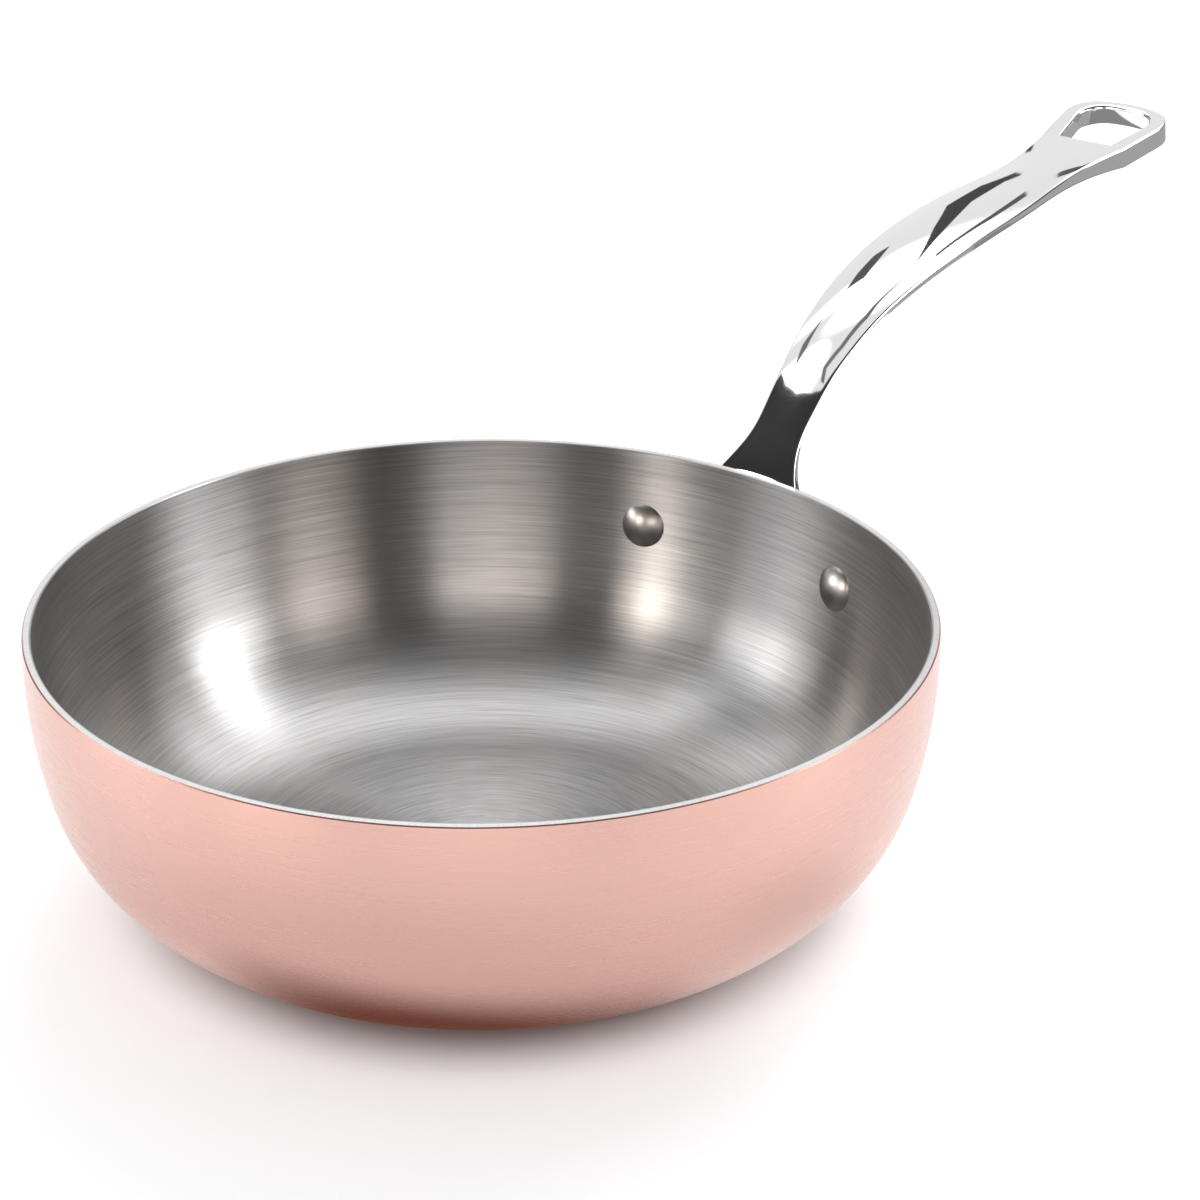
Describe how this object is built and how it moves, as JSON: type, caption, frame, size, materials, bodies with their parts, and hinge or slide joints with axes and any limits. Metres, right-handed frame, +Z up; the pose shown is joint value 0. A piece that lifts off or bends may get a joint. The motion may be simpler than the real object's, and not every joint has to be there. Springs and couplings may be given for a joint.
{
  "type": "saucier pan",
  "caption": "Round-bottomed saucier pan in bonded copper, aluminium and steel, with a riveted cast handle that ends in a hanging eye.",
  "frame": {"origin": "the middle of the pan's flat underside, on the surface that it stands on", "axes": "+Z up along the pan's axis, +X along the handle towards its hanging eye, +Y across the handle"},
  "size_m": [0.4532, 0.2436, 0.1508],
  "materials": {
    "copper": "polished copper",
    "core_aluminium": "cut and ground edge",
    "lining_steel": "brushed in circles about the middle",
    "cast_steel": "mirror polished casting",
    "rivet_steel": "satin polished"
  },
  "bodies": {
    "root": {"copper_shell": "copper", "aluminium_core": "core_aluminium", "steel_lining": "lining_steel", "handle": "cast_steel", "rivets": "rivet_steel"}
  },
  "joints": []
}
